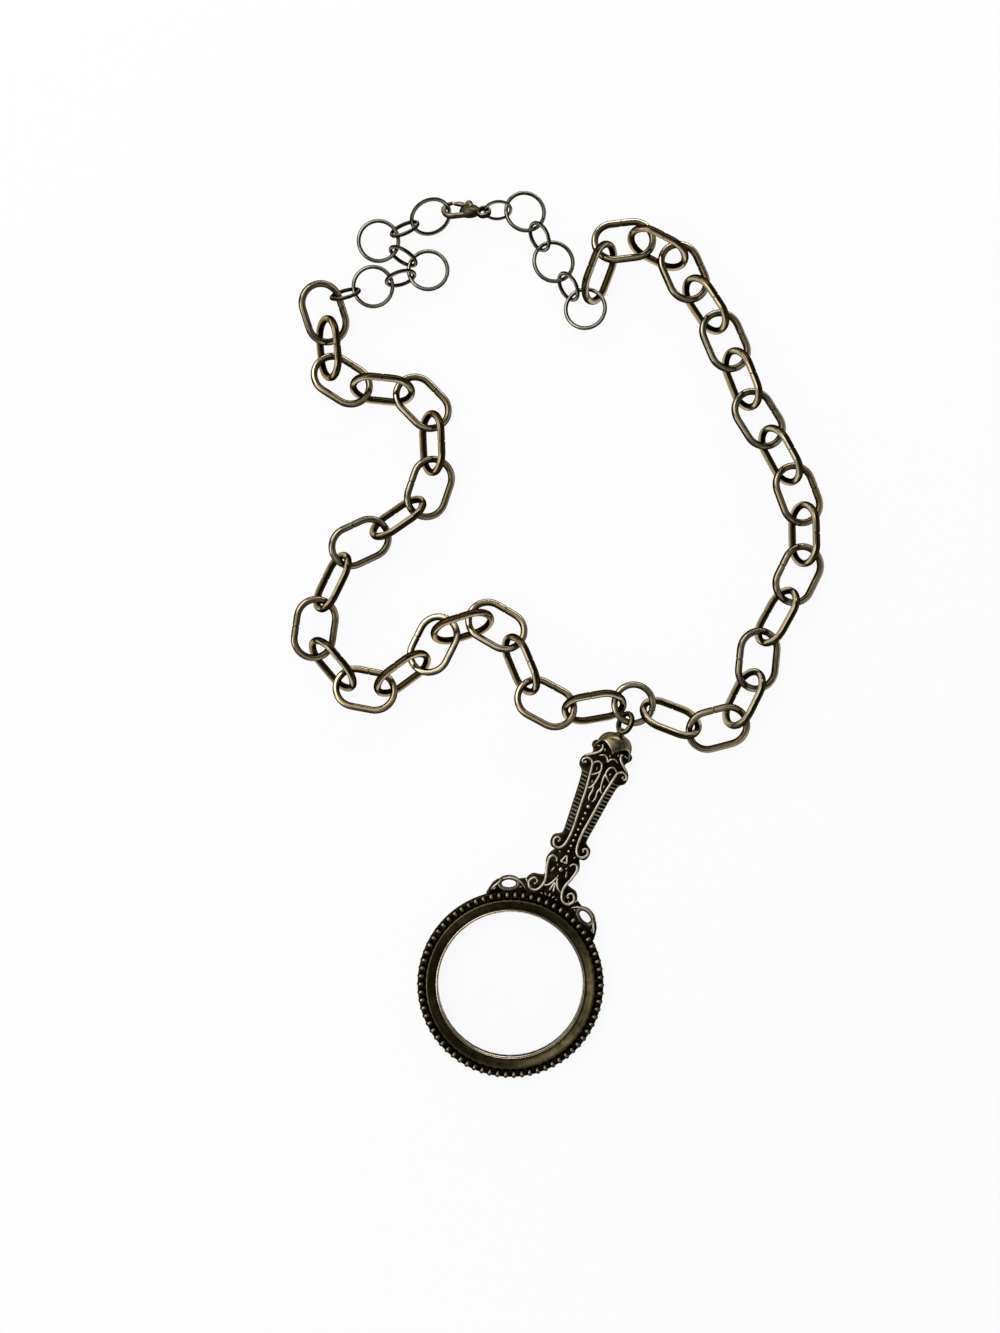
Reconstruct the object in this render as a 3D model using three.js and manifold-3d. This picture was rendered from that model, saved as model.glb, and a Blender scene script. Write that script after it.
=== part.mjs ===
// Magnifier pendant necklace lying on a table: +X right, +Y up towards the clasp, +Z off the table.
import * as THREE from 'three';
import { mergeVertices } from 'three/addons/utils/BufferGeometryUtils.js';
import Module from 'manifold-3d';

const wasm = await Module();
wasm.setup();

// Fits, in millimetres
const clearance = 0.3;

// Large oval links of the chain, outside sizes
const linkLength = 15.9;
const linkWidth = 11.0;
const linkWire = 1.8;

// Thin extender rings, outside sizes
const bigRingDiameter = 10.5;
const smallRingDiameter = 7.9;
const ringWire = 1.0;
const endRingDiameter = 7.0;
const endRingWire = 0.8;

// Thick ring that joins the chain halves and carries the pendant
const centreRingDiameter = 11.0;
const centreRingWire = 1.8;
const centreRingRoll = 2;
const centreRingHeight = 4.8;

// Magnifier rim and lens
const rimDiameter = 45.0;
const rimHeight = 4.4;
const rimBackBevel = 0.5;
const viewDiameter = 34.8;
const lensDiameter = 37.0;
const lensEdge = 0.9;
const lensFrontRise = 1.3;
const lensBackRise = 0.7;
const lipHeight = 0.8;
const lipWidth = 0.7;
const retainerHeight = 0.6;
const retainerWidth = 1.0;
const retainerRecess = 0.1;
const beadCount = 68;
const beadDiameter = 1.7;

// Handle of the magnifier, with places along it measured out from the rim's edge
const handleLean = 23.6;
const handleThickness = 2.9;
const handleLift = 0.5;
const footOut = 2.7;
const footReach = rimDiameter / 2 + footOut;
const footRise = 2.6;
const vaseOut = 9.5;
const vaseReach = rimDiameter / 2 + vaseOut;
const vaseWidth = 8.0;
const lowerScrollOut = 13.8;
const lowerScrollReach = rimDiameter / 2 + lowerScrollOut;
const shoulderOut = 33.8;
const shoulderReach = rimDiameter / 2 + shoulderOut;
const shoulderWidth = 10.0;
const capScrollRise = 4.9;
const capRise = 5.5;
const capScrollReach = shoulderReach + capScrollRise;
const capReach = shoulderReach + capRise;
const capDiameter = 8.4;
const capDepth = 6.2;
const footScrollDiameter = 4.2;
const lowerScrollDiameter = 3.4;
const shoulderScrollDiameter = 3.8;
const capScrollDiameter = 2.6;
const scrollProud = 0.7;
const railWidth = 0.9;
const railProud = 0.5;
const eyeRise = 6.9;
const eyeReach = capReach + eyeRise;
const eyeHole = 3.2;
const eyeWire = 1.4;
const eyeRoll = -57;
const leafOut = 1.7;
const leafReach = rimDiameter / 2 + leafOut;
const leafLength = 6.2;
const leafBreadth = 4.0;
const leafWire = 1.3;
const leafAngle = 24.5;

// Lobster clasp, with its lever closing the lower side of the hook
const claspLength = 12.0;
const claspThickness = 1.6;
const barrelThickness = 2.6;
const barrelWidth = 4.6;
const hookHole = 3.6;
const hookWall = 0.8;
const hookTipAngle = -75;
const claspEyeHole = 2.0;
const claspEyeWall = 0.8;
const leverThickness = 0.8;
const thumbTab = 1.2;
const rivetDiameter = 0.8;
const rivetHead = 0.3;
const springStrip = 0.3;

// Facets
const linkSteps = 14;
const linkSides = 6;
const ringSteps = 14;
const ringSides = 5;
const rimSteps = 68;
const lensSteps = 48;
const scrollSteps = 12;
const footSteps = 10;
const settleSweeps = 6000;
const settleSink = 0.004;
const restSteps = 28;
const restRounds = 3;
const restHalvings = 12;

// How the chain lies, outwards from the centre ring: the way each piece points, its roll about that line
// and, for a link that stands steeply, how much slack it leaves between its neighbours.
const rightLinks = [
  [340, -50, 0],
  [14, 12],
  [62, -60, 3.9],
  [86, 12],
  [62, -60, 1.1],
  [63, 12],
  [91, -60, 4.2],
  [111, 12],
  [118, -60, 3.5],
  [122, 12],
  [112, -60, 3.5],
  [113, 12],
  [123, -60, 4.6],
  [114, 12],
  [154, -60, 6.6],
  [202, 12],
  [236, -60, 1.7],
];
const leftLinks = [
  [184, -50, 0],
  [148, 12],
  [115, -60, 1.1],
  [149, 12],
  [197, -60, 6.6],
  [245, 12],
  [215, -60, 3.2],
  [170, 12],
  [130, -60, 3.6],
  [82, 12],
  [64, -60, 0],
  [25, 12],
  [36, -60, 2.3],
  [70, 12],
  [93, -60, 2.5],
  [136, 12],
  [171, -60, 3.3],
  [144, 12],
  [96, -60, 6.6],
  [80, 12],
];
const rightRings = [
  [242, 10, bigRingDiameter],
  [122, -65, smallRingDiameter],
  [113, 12, bigRingDiameter],
  [120, -62, smallRingDiameter],
  [120, 12, bigRingDiameter],
  [185, -62, endRingDiameter],
];
const leftRings = [
  [15, -65, smallRingDiameter],
  [15, 8, bigRingDiameter],
  [17, 75, smallRingDiameter],
  [170, 5, bigRingDiameter],
  [150, -75, smallRingDiameter],
  [25, 5, bigRingDiameter],
  [25, -60, smallRingDiameter],
  [25, 48, bigRingDiameter],
];
const claspHeading = 205;
const claspRoll = 35;

// Finishes
const chainBrass = new THREE.MeshStandardMaterial({ color: 0x9a8a66, roughness: 0.32, metalness: 1 });
const ringBrass = new THREE.MeshStandardMaterial({ color: 0x77735f, roughness: 0.35, metalness: 1 });
const castBrass = new THREE.MeshStandardMaterial({ color: 0x5a5140, roughness: 0.42, metalness: 1 });
const claspBrass = new THREE.MeshStandardMaterial({ color: 0x4c4733, roughness: 0.45, metalness: 1 });
const springSteel = new THREE.MeshStandardMaterial({ color: 0x8f8f8c, roughness: 0.3, metalness: 1 });
const clearGlass = new THREE.MeshStandardMaterial({ color: 0xf4f7f7, roughness: 0.04, metalness: 0 });

const necklace = new THREE.Group();
const up = new THREE.Vector3(0, 0, 1);
const turn = THREE.MathUtils.degToRad;

function addMesh(name, geometry, material, parent = necklace) {
  const mesh = new THREE.Mesh(geometry, material);
  mesh.name = name;
  parent.add(mesh);
  return mesh;
}

// Solids are joined and cut on their bare corner points.
function toSolid(geometry) {
  const bare = geometry.clone();
  bare.deleteAttribute('normal');
  bare.deleteAttribute('uv');
  const merged = mergeVertices(bare, 1e-4);
  const corners = merged.index.array;
  const kept = [];
  for (let i = 0; i < corners.length; i += 3) {
    const [a, b, c] = [corners[i], corners[i + 1], corners[i + 2]];
    if (a !== b && b !== c && c !== a) kept.push(a, b, c);
  }
  return new wasm.Manifold(new wasm.Mesh({
    numProp: 3,
    vertProperties: Float32Array.from(merged.attributes.position.array),
    triVerts: Uint32Array.from(kept),
  }));
}

function toGeometry(solid) {
  const mesh = solid.getMesh();
  const geometry = new THREE.BufferGeometry();
  geometry.setAttribute('position', new THREE.BufferAttribute(mesh.vertProperties, 3));
  geometry.setIndex(new THREE.BufferAttribute(mesh.triVerts, 1));
  return geometry;
}

function join(geometries) {
  return geometries.map(toSolid).reduce((whole, piece) => whole.add(piece));
}

function outline(points) {
  return new THREE.Shape(points.map(([x, y]) => new THREE.Vector2(x, y)));
}

// A flat plate of a given thickness, standing on the given level.
function plate(shape, thickness, level, curveSegments = scrollSteps) {
  const geometry = new THREE.ExtrudeGeometry(shape, { depth: thickness, bevelEnabled: false, curveSegments });
  return geometry.translate(0, 0, level);
}

// An upright disc or pin, standing on the given level.
function post(diameter, height, x, y, level, sides = scrollSteps) {
  const geometry = new THREE.CylinderGeometry(diameter / 2, diameter / 2, height, sides);
  return geometry.rotateX(Math.PI / 2).translate(x, y, level + height / 2);
}

// A round wire ring about Z.
function ringGeometry(diameter, wire, steps = ringSteps, sides = ringSides) {
  return new THREE.TorusGeometry((diameter - wire) / 2, wire / 2, sides, steps);
}

// An oval link is a round ring pulled apart into two halves with straight sides between.
function linkGeometry() {
  const wireRadius = linkWire / 2 / Math.cos(Math.PI / linkSides / 2);
  const geometry = new THREE.TorusGeometry((linkWidth - linkWire) / 2, wireRadius, linkSides, linkSteps);
  const corners = geometry.attributes.position;
  const pull = (linkLength - linkWidth) / 2;
  for (let i = 0; i < corners.count; i++) {
    corners.setX(i, corners.getX(i) + Math.sign(corners.getX(i)) * pull);
  }
  return geometry;
}

// From the middle of a round end to the contact inside it.
function insideReach(width, wire) {
  return width / 2 - wire - clearance / 2;
}

function headingWay(heading) {
  return new THREE.Vector3(Math.cos(turn(heading)), Math.sin(turn(heading)), 0);
}

// A chain piece runs from its tail to its head, the middles of its round ends, which are one point in a ring.
function ringPiece(name, heading, roll, diameter, wire) {
  const middle = new THREE.Vector3();
  const reach = insideReach(diameter, wire);
  return {
    name,
    roll,
    wire,
    diameter,
    way: headingWay(heading),
    radius: (diameter - wire) / 2,
    tail: middle,
    head: middle,
    length: 0,
    tailReach: reach,
    headReach: reach,
  };
}

function linkPiece(name, heading, roll, slack) {
  const reach = insideReach(linkWidth, linkWire) - slack / 2;
  return {
    name,
    roll,
    wire: linkWire,
    firstWay: headingWay(heading),
    radius: (linkWidth - linkWire) / 2,
    tail: new THREE.Vector3(),
    head: new THREE.Vector3(),
    length: linkLength - linkWidth,
    tailReach: reach,
    headReach: reach,
  };
}

// The clasp runs from the middle of its eye to the middle of its hook's round end.
const claspPiece = {
  name: 'clasp',
  roll: claspRoll,
  wire: claspThickness,
  firstWay: headingWay(claspHeading),
  radius: barrelWidth / 2,
  tail: new THREE.Vector3(),
  head: new THREE.Vector3(),
  length: claspLength - hookWall - hookHole / 2 - claspEyeWall - claspEyeHole / 2,
  tailReach: (claspEyeHole - clearance) / 2,
  headReach: (hookHole - clearance) / 2,
};

// The centre ring lies level with the pendant's eye below and a chain half on each side.
const eyeContact = new THREE.Vector3(0, 0, centreRingHeight);
const handleHeading = 90 - handleLean;
const handleWay = headingWay(handleHeading);
const centreRingSizes = [centreRingDiameter, centreRingWire];
const centreRingPiece = ringPiece('centre_ring', handleHeading, centreRingRoll, ...centreRingSizes);
centreRingPiece.fixed = true;
centreRingPiece.head.copy(eyeContact).addScaledVector(handleWay, centreRingPiece.tailReach);

// First guess: each piece follows the one before, drawn the way the steeper of the two points.
function chainHalf(side, links, rings, last = []) {
  const pieces = links.map(([heading, roll, slack = 0], i) => {
    return linkPiece(`${side}_link_${String(i + 1).padStart(2, '0')}`, heading, roll, slack);
  });
  rings.forEach(([heading, roll, diameter], i) => {
    const wire = diameter === endRingDiameter ? endRingWire : ringWire;
    pieces.push(ringPiece(`${side}_ring_${i + 1}`, heading, roll, diameter, wire));
  });
  pieces.push(...last);
  let before = centreRingPiece;
  for (const piece of pieces) {
    const steeper = Math.abs(before.roll) > Math.abs(piece.roll) ? before : piece;
    const pull = steeper.way ?? steeper.firstWay;
    piece.tail.copy(before.head).addScaledVector(pull, before.headReach + piece.tailReach);
    piece.tail.z = piece.radius;
    if (piece.length) piece.head.copy(piece.tail).addScaledVector(piece.firstWay, piece.length);
    before = piece;
  }
  return pieces;
}

// Along, across and through a piece.
function axesOf({ tail, head, way, roll }) {
  const along = way ? way.clone() : head.clone().sub(tail).normalize();
  const across = up.clone().cross(along).normalize().applyAxisAngle(along, turn(roll));
  return [along, across, along.clone().cross(across)];
}

// Two linked pieces pull on each other along the line in which their planes cross.
function pullBetween(first, second, onward) {
  const pull = axesOf(first)[2].cross(axesOf(second)[2]).normalize();
  return onward.dot(pull) < 0 ? pull.negate() : pull;
}

// Each of the two points takes half of the step, and a fixed piece stays.
function moveTogether(firstPiece, first, secondPiece, second, step) {
  if (!firstPiece.fixed) first.addScaledVector(step, 0.5);
  if (!secondPiece.fixed) second.addScaledVector(step, -0.5);
}

// Lets the pieces sink to the table and draws them together until each hangs in its neighbours.
function settle(pieces, contacts) {
  for (let sweep = 0; sweep < settleSweeps; sweep++) {
    const sink = sweep < settleSweeps / 2 ? settleSink : 0;
    for (const piece of pieces) {
      const [, , through] = axesOf(piece);
      const lowest = piece.radius * Math.sqrt(1 - through.z ** 2) + piece.wire / 2;
      for (const end of new Set([piece.tail, piece.head])) {
        if (!piece.fixed) end.z = Math.max(end.z - sink, lowest);
      }
      if (piece.length) {
        const step = piece.head.clone().sub(piece.tail);
        step.multiplyScalar(1 - piece.length / step.length());
        moveTogether(piece, piece.tail, piece, piece.head, step);
      }
    }
    for (const { first, second, secondEnd, onward } of contacts) {
      const reach = first.headReach + second[secondEnd + 'Reach'];
      const step = second[secondEnd].clone().sub(first.head);
      step.addScaledVector(pullBetween(first, second, onward), -reach);
      moveTogether(first, first.head, second, second[secondEnd], step);
    }
  }
}

function middleOf({ tail, head }) {
  return tail.clone().lerp(head, 0.5);
}

// The head of one piece holds an end of the next.
function contact(first, second, secondEnd) {
  return { first, second, secondEnd, onward: middleOf(second).sub(middleOf(first)) };
}

const rightHalf = chainHalf('right', rightLinks, rightRings, [claspPiece]);
const leftHalf = chainHalf('left', leftLinks, leftRings);
const contacts = [contact(leftHalf.at(-1), claspPiece, 'head')];
for (const half of [rightHalf, leftHalf]) {
  half.forEach((piece, i) => contacts.push(contact(half[i - 1] ?? centreRingPiece, piece, 'tail')));
}
const chainPieces = [...rightHalf, ...leftHalf];
settle([centreRingPiece, ...chainPieces], contacts);

// Points along the middle of a piece's wire.
function middleLine(piece) {
  const [along, across] = axesOf(piece);
  const centre = middleOf(piece);
  const line = [];
  const add = (x, y) => line.push(centre.clone().addScaledVector(along, x).addScaledVector(across, y));
  for (const side of [1, -1]) {
    for (let i = 0; i <= restSteps; i++) {
      const angle = Math.PI * (i / restSteps - 0.5);
      add(side * (piece.length / 2 + piece.radius * Math.cos(angle)), side * piece.radius * Math.sin(angle));
    }
    for (let i = 1; i < restSteps / 2; i++) {
      add(side * piece.length * (0.5 - (2 * i) / restSteps), side * piece.radius);
    }
  }
  return line;
}

function gapBetween(first, second) {
  const others = middleLine(second);
  let nearest = Infinity;
  for (const point of middleLine(first)) {
    for (const other of others) nearest = Math.min(nearest, point.distanceToSquared(other));
  }
  return Math.sqrt(nearest) - (first.wire + second.wire) / 2;
}

// Lets one end of a level link sink until it rests on one of the steep pieces that it holds.
function restOn(piece, end, steepPieces) {
  const start = end.z;
  const needed = steepPieces.map((steep) => Math.min(clearance, gapBetween(piece, steep)));
  let held = 0;
  let reached = piece.radius;
  for (let i = 0; i < restHalvings; i++) {
    const drop = (held + reached) / 2;
    end.z = start - drop;
    const above = Math.min(...middleLine(piece).map((point) => point.z)) - piece.wire / 2;
    const clear = steepPieces.every((steep, k) => gapBetween(piece, steep) >= needed[k]);
    if (clear && above > 0) held = drop;
    else reached = drop;
  }
  end.z = start - held;
}

for (const half of [rightHalf, leftHalf]) {
  for (let round = 0; round < restRounds; round++) {
    half.forEach((piece, i) => {
      if (!piece.length || piece === claspPiece || i % 2 === 0) return;
      restOn(piece, piece.tail, [half[i - 1], half[i + 1]]);
      restOn(piece, piece.head, [half[i - 1], half[i + 1]]);
    });
  }
}

// Turns and places a piece whose own X runs along it and whose own Z runs through it.
function lay(object, piece) {
  object.quaternion.setFromRotationMatrix(new THREE.Matrix4().makeBasis(...axesOf(piece)));
  object.position.copy(middleOf(piece));
}

const ovalLink = linkGeometry();
for (const piece of [centreRingPiece, ...chainPieces]) {
  if (piece === claspPiece) continue;
  const finish = piece.wire === linkWire ? chainBrass : ringBrass;
  const steps = piece.wire === centreRingWire ? linkSteps : ringSteps;
  const geometry = piece.diameter ? ringGeometry(piece.diameter, piece.wire, steps) : ovalLink;
  lay(addMesh(piece.name, geometry, finish), piece);
}

// Magnifier, in its own group: lens centre at the origin, handle along +Y, back on the table.
const magnifier = new THREE.Group();
const eyeMiddle = eyeContact.clone().addScaledVector(handleWay, -(eyeHole - clearance) / 2);
magnifier.rotation.z = -turn(handleLean);
magnifier.position.copy(eyeMiddle).addScaledVector(handleWay, -eyeReach).setZ(0);
necklace.add(magnifier);

const rimRadius = rimDiameter / 2;
const viewRadius = viewDiameter / 2;
const lensRadius = lensDiameter / 2;
const pocketRadius = lensRadius + clearance;
const retainerTop = retainerRecess + retainerHeight;
const lensBottom = retainerTop + clearance;
const lensTop = lensBottom + lensEdge;
const pocketTop = lensTop + clearance;
const lipTop = pocketTop + lipHeight;
const handleTop = handleLift + handleThickness;

// A closed profile of radii and heights, spun about the lens axis.
function spin(points, steps) {
  const profile = points.map(([radius, height]) => new THREE.Vector2(radius, height));
  return new THREE.LatheGeometry(profile, steps).rotateX(Math.PI / 2);
}

function rimGeometry() {
  const grooveRadius = rimRadius - beadDiameter - 0.9;
  return spin([
    [viewRadius, pocketTop],
    [pocketRadius, pocketTop],
    [pocketRadius, 0],
    [rimRadius - rimBackBevel, 0],
    [rimRadius, rimBackBevel],
    [rimRadius, rimHeight - beadDiameter],
    [rimRadius - beadDiameter, rimHeight - beadDiameter / 2],
    [grooveRadius, rimHeight],
    [viewRadius + lipWidth, lipTop],
    [viewRadius, lipTop],
    [viewRadius, pocketTop],
  ], rimSteps);
}

// Beads stand in the groove round the outside of the rim.
function rimBeads() {
  const beadReach = rimRadius - beadDiameter * 0.6;
  return Array.from({ length: beadCount }, (_, i) => {
    const angle = ((i + 0.5) / beadCount) * 2 * Math.PI;
    const bead = new THREE.IcosahedronGeometry(beadDiameter / 2);
    return bead.translate(beadReach, 0, rimHeight - beadDiameter / 2).rotateZ(angle);
  });
}

// Half widths along the handle, mirrored into one outline.
function handleShape() {
  const neck = (footReach + vaseReach) / 2 - 1;
  const edge = [
    [vaseWidth * 0.4, rimRadius - 2],
    [vaseWidth * 0.3, neck],
    [vaseWidth / 2, vaseReach],
    [vaseWidth * 0.42, (vaseReach + lowerScrollReach) / 2],
    [shoulderWidth * 0.27, lowerScrollReach + 2.2],
    [shoulderWidth / 2, shoulderReach - 2.3],
    [shoulderWidth * 0.44, shoulderReach + 2.2],
    [capDiameter * 0.47, capReach],
  ];
  return outline([...edge, ...edge.map(([half, reach]) => [-half, reach]).reverse()]);
}

// Leaf bank that spreads over the rim on both sides of the handle's foot.
function footShape() {
  const crest = [];
  const base = [];
  for (let i = 0; i <= footSteps; i++) {
    const share = 1 - (2 * i) / footSteps;
    const angle = turn(leafAngle * share);
    const reach = rimRadius + footRise * (1 - 0.55 * Math.abs(share));
    crest.push([reach * Math.sin(angle), reach * Math.cos(angle)]);
    base.unshift([(rimRadius - 1) * Math.sin(angle), (rimRadius - 1) * Math.cos(angle)]);
  }
  return outline([...crest, ...base]);
}

// Everything that comes in a right and a left copy, for the side +1 or -1.
function handleSide(side) {
  const tall = handleThickness + scrollProud;
  const railFoot = shoulderWidth * 0.27 - railWidth;
  const railHead = shoulderWidth / 2 - railWidth * 1.6;
  const rail = outline([
    [side * railFoot, lowerScrollReach],
    [side * (railFoot + railWidth), lowerScrollReach],
    [side * (railHead + railWidth), shoulderReach],
    [side * railHead, shoulderReach],
  ]);
  const leaf = ringGeometry(leafBreadth, leafWire, ringSteps, linkSides);
  leaf.scale(leafLength / leafBreadth, 1, 1);
  leaf.translate(0, leafReach, handleLift + handleThickness / 2).rotateZ(-side * turn(leafAngle));
  return [
    post(footScrollDiameter, tall, side * vaseWidth * 0.56, footReach, handleLift),
    post(lowerScrollDiameter, tall, side * shoulderWidth * 0.33, lowerScrollReach, handleLift),
    post(shoulderScrollDiameter, tall, side * shoulderWidth * 0.46, shoulderReach, handleLift),
    post(capScrollDiameter, tall, side * capDiameter * 0.48, capScrollReach, handleLift),
    plate(rail, railProud + 0.5, handleTop - 0.5),
    leaf,
  ];
}

// Domed cap, a neck and the eye, whose plane stands steeply on the centre ring.
function handleTopPieces() {
  const cap = new THREE.SphereGeometry(capDiameter / 2, 16, 10).scale(1, 0.9, capDepth / capDiameter);
  const neck = new THREE.SphereGeometry(eyeWire * 1.2, 10, 8);
  const eye = ringGeometry(eyeHole + 2 * eyeWire, eyeWire, linkSteps, linkSides).rotateY(turn(eyeRoll));
  return [
    cap.translate(0, capReach, capDepth / 2 + 0.2),
    neck.translate(0, eyeReach - eyeHole / 2 - eyeWire * 1.4, centreRingHeight - 0.4),
    eye.translate(0, eyeReach, centreRingHeight),
  ];
}

const frameSolid = join([
  rimGeometry(),
  ...rimBeads(),
  plate(handleShape(), handleThickness, handleLift),
  plate(footShape(), handleThickness, handleLift),
  ...handleSide(1),
  ...handleSide(-1),
  ...handleTopPieces(),
]);
addMesh('magnifier_frame', toGeometry(frameSolid), castBrass, magnifier);

// The lens is flat under the lip and over the retaining ring, and domed on both faces inside them.
function lensGeometry() {
  const domeRadius = viewRadius - clearance;
  const shares = [0, 0.25, 0.5, 0.75, 1];
  const back = shares.map((share) => [domeRadius * share, lensBottom - lensBackRise * (1 - share ** 2)]);
  const front = shares.map((share) => [domeRadius * share, lensTop + lensFrontRise * (1 - share ** 2)]);
  return spin([...back, [lensRadius, lensBottom], [lensRadius, lensTop], ...front.reverse()], lensSteps);
}
addMesh('lens', toGeometry(toSolid(lensGeometry())), clearGlass, magnifier);

const retainerOutside = pocketRadius - clearance;
const retainerInside = retainerOutside - retainerWidth;
const retainer = spin([
  [retainerInside, retainerRecess],
  [retainerOutside, retainerRecess],
  [retainerOutside, retainerTop],
  [retainerInside, retainerTop],
  [retainerInside, retainerRecess],
], lensSteps);
addMesh('lens_retaining_ring', toGeometry(toSolid(retainer)), castBrass, magnifier);

// Clasp, in its own group: X runs from its eye to its hook and Z through its thickness.
const clasp = new THREE.Group();
lay(clasp, claspPiece);
necklace.add(clasp);
const claspEyeX = -claspPiece.length / 2;
const hookX = claspPiece.length / 2;
const hookInside = hookHole / 2;
const hookOutside = hookInside + hookWall;
const barrelHalf = barrelWidth / 2;
const barrelBack = claspEyeX + claspEyeHole / 2 + 0.1;
const barrelFront = hookX - hookOutside + 0.3;
const slotHalf = leverThickness / 2 + clearance;
const pivotHole = rivetDiameter + 2 * clearance;
const pivotDisc = pivotHole + 1.0;
const slotBack = barrelBack + 0.7;
const pivotX = slotBack + clearance + pivotDisc / 2;
const pivotY = -barrelHalf * 0.26;

function hookShape() {
  const shape = new THREE.Shape();
  shape.absarc(hookX, 0, hookOutside, turn(hookTipAngle), turn(155), false);
  shape.absarc(hookX, 0, hookInside, turn(155), turn(hookTipAngle), true);
  return shape;
}

function claspBody() {
  const barrel = outline([
    [barrelBack, -barrelHalf * 0.55],
    [barrelBack + 0.9, -barrelHalf],
    [barrelFront - 0.5, -barrelHalf],
    [barrelFront, -barrelHalf * 0.8],
    [barrelFront, hookInside * 0.25],
    [barrelFront + 0.65, hookInside * 0.6],
    [barrelFront + 0.65, hookOutside * 0.8],
    [barrelFront - 0.5, barrelHalf],
    [barrelBack + 0.9, barrelHalf],
    [barrelBack, barrelHalf * 0.55],
  ]);
  const slot = outline([
    [slotBack, -barrelHalf - 1],
    [barrelFront + 0.05, -barrelHalf - 1],
    [barrelFront + 0.05, barrelHalf * 0.78],
    [slotBack, barrelHalf * 0.78],
  ]);
  const whole = join([
    post(claspEyeHole + 2 * claspEyeWall, claspThickness, claspEyeX, 0, -claspThickness / 2, 20),
    plate(barrel, barrelThickness, -barrelThickness / 2),
    plate(hookShape(), claspThickness, -claspThickness / 2),
  ]);
  const cuts = join([
    post(claspEyeHole, claspThickness + 2, claspEyeX, 0, -claspThickness / 2 - 1, 20),
    plate(slot, 2 * slotHalf, -slotHalf),
    post(pivotHole, barrelThickness + 2, pivotX, pivotY, -barrelThickness / 2 - 1),
  ]);
  return whole.subtract(cuts);
}

// The lever ends a clearance short of the hook's tip, swings inwards and has a thumb tab below the barrel.
function claspLever() {
  const tipTurn = turn(hookTipAngle);
  const tipX = hookX + hookInside * Math.cos(tipTurn) - pivotX;
  const tipY = hookInside * Math.sin(tipTurn) - pivotY;
  const reach = Math.hypot(tipX, tipY) - clearance;
  const tipPoint = (back) => {
    const angle = Math.atan2(tipY, tipX) - turn(back);
    return [pivotX + reach * Math.cos(angle), pivotY + reach * Math.sin(angle)];
  };
  const arm = outline([
    [pivotX, pivotY - pivotDisc * 0.45],
    [barrelFront - 1, -barrelHalf * 0.9],
    tipPoint(11),
    tipPoint(1),
    [barrelFront + 0.4, -barrelHalf * 0.55],
    [pivotX + pivotDisc * 0.4, pivotY + pivotDisc * 0.2],
    [pivotX, pivotY + pivotDisc * 0.45],
  ]);
  const tab = outline([
    [barrelFront - 1.5, -barrelHalf * 0.6],
    [barrelFront - 1.3, -barrelHalf - thumbTab],
    [barrelFront - 0.6, -barrelHalf - thumbTab],
    [barrelFront - 0.4, -barrelHalf * 0.6],
  ]);
  const level = -leverThickness / 2;
  const whole = join([
    post(pivotDisc, leverThickness, pivotX, pivotY, level, 16),
    plate(arm, leverThickness, level),
    plate(tab, leverThickness, level),
  ]);
  return whole.subtract(toSolid(post(pivotHole, leverThickness + 2, pivotX, pivotY, level - 1)));
}

// The rivet's heads stand a clearance off the barrel's two faces.
function claspRivet() {
  const headLevel = barrelThickness / 2 + clearance;
  const headDiameter = pivotHole + 0.6;
  return join([
    post(rivetDiameter, 2 * headLevel + rivetHead, pivotX, pivotY, -headLevel - rivetHead / 2),
    post(headDiameter, rivetHead, pivotX, pivotY, headLevel),
    post(headDiameter, rivetHead, pivotX, pivotY, -headLevel - rivetHead),
  ]);
}

// A flat spring lies in the slot over the lever.
function claspSpring() {
  const springTop = barrelHalf * 0.78 - clearance;
  const strip = outline([
    [slotBack + clearance, springTop - springStrip],
    [barrelFront - clearance, springTop - springStrip - 0.4],
    [barrelFront - clearance, springTop - 0.4],
    [slotBack + clearance, springTop],
  ]);
  return plate(strip, leverThickness, -leverThickness / 2);
}

addMesh('clasp_body', toGeometry(claspBody()), claspBrass, clasp);
addMesh('clasp_lever', toGeometry(claspLever()), claspBrass, clasp);
addMesh('clasp_rivet', toGeometry(claspRivet()), claspBrass, clasp);
addMesh('clasp_spring', toGeometry(toSolid(claspSpring())), springSteel, clasp);

// The middle of the underside becomes the origin.
const extent = new THREE.Box3().setFromObject(necklace, true);
const underside = extent.getCenter(new THREE.Vector3()).setZ(extent.min.z);
for (const piece of necklace.children) piece.position.sub(underside);

export default necklace;
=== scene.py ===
# %% [markdown]
# # A magnifier pendant necklace
# The necklace lies on a pale table: a chain of heavy links, two runs of thin rings, a hook clasp, and a cast
# pendant that holds a round lens. The solid model already gives each piece its place and its joint, so this
# lesson only dresses that frame. It is loaded first.

# %% Load the frame
import math
import bmesh
import bpy
import numpy as np
from mathutils import Matrix, Vector


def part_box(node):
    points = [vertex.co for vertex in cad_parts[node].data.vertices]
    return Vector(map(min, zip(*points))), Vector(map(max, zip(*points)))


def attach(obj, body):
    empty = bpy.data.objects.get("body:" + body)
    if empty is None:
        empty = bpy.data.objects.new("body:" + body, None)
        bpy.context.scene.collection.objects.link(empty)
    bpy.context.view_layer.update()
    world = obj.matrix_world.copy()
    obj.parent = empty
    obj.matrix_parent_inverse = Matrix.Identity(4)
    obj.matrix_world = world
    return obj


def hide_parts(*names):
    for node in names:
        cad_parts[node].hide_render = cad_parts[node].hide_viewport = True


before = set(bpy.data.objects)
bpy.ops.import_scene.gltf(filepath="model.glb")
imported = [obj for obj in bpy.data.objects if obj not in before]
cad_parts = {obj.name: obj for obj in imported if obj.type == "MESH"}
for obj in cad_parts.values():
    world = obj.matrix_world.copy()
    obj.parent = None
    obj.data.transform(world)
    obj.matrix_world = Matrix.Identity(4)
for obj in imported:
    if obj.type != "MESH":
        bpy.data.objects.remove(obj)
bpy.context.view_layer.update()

MM = 0.001

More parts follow.
